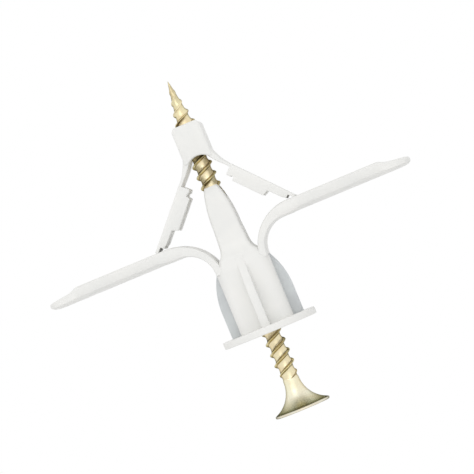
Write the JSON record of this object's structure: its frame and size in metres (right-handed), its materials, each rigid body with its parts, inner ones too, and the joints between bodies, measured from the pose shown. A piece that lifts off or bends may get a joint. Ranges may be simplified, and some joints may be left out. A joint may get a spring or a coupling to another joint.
{
  "type": "hollow wall anchor with screw",
  "caption": "Plastic toggle wall anchor with folding wings, living-hinge struts and a nut, on a countersunk cross-recess screw.",
  "frame": {"origin": "centre of the flange's face that seats on the wall", "axes": "+Z along the screw axis into the wall, towards the screw's point; +X along the wings; +Y across the wings"},
  "size_m": [0.055, 0.014, 0.0502],
  "materials": {
    "plastic": "satin",
    "zinc_yellow": "satin"
  },
  "bodies": {
    "collar": {"flange": "plastic", "barrel": "plastic", "rib_left": "plastic", "rib_right": "plastic", "rib_front": "plastic", "rib_back": "plastic", "guide_sleeve": "plastic", "arm_left": "plastic", "arm_right": "plastic"},
    "screw": {"screw": "zinc_yellow"},
    "nut": {"nut_block": "plastic", "upper_film_left": "plastic", "upper_film_right": "plastic"},
    "left_wing": {"wing_left": "plastic", "lower_film_left": "plastic"},
    "right_wing": {"wing_right": "plastic", "lower_film_right": "plastic"},
    "left_strut": {"strut_left": "plastic"},
    "right_strut": {"strut_right": "plastic"}
  },
  "joints": [
    {"name": "screw_turn", "type": "hinge", "parent": "collar", "child": "screw", "pos_m": [0, 0, 0], "axis": [0, 0, 1], "range_deg": [-669.6, 24.5]},
    {"name": "nut_travel", "type": "slide", "parent": "collar", "child": "nut", "axis": [0, 0, 1], "range_m": [-0.00025, 0.00598], "deforming": ["upper_film_left", "upper_film_right"]},
    {"name": "left_wing_fold", "type": "hinge", "parent": "collar", "child": "left_wing", "pos_m": [-0.0053, 0, 0.0134], "axis": [0, 1, 0], "range_deg": [-3.05, 82.05], "deforming": ["arm_left"]},
    {"name": "left_strut_hinge", "type": "hinge", "parent": "left_wing", "child": "left_strut", "pos_m": [-0.0106, 0, 0.0156], "axis": [0, -1, 0], "range_deg": [-4.6, 123.6], "deforming": ["lower_film_left"]},
    {"name": "right_wing_fold", "type": "hinge", "parent": "collar", "child": "right_wing", "pos_m": [0.0053, 0, 0.0134], "axis": [0, -1, 0], "range_deg": [-3.05, 82.05], "deforming": ["arm_right"]},
    {"name": "right_strut_hinge", "type": "hinge", "parent": "right_wing", "child": "right_strut", "pos_m": [0.0106, 0, 0.0156], "axis": [0, 1, 0], "range_deg": [-4.6, 123.6], "deforming": ["lower_film_right"]}
  ],
  "couplings": [
    {"joint": "nut_travel", "follows": "screw_turn", "m_per_rad": -0.0005093},
    {"joint": "left_wing_fold", "follows": "screw_turn", "ratio": -0.12246},
    {"joint": "right_wing_fold", "follows": "screw_turn", "ratio": -0.12246},
    {"joint": "left_strut_hinge", "follows": "screw_turn", "ratio": -0.18442},
    {"joint": "right_strut_hinge", "follows": "screw_turn", "ratio": -0.18442}
  ]
}
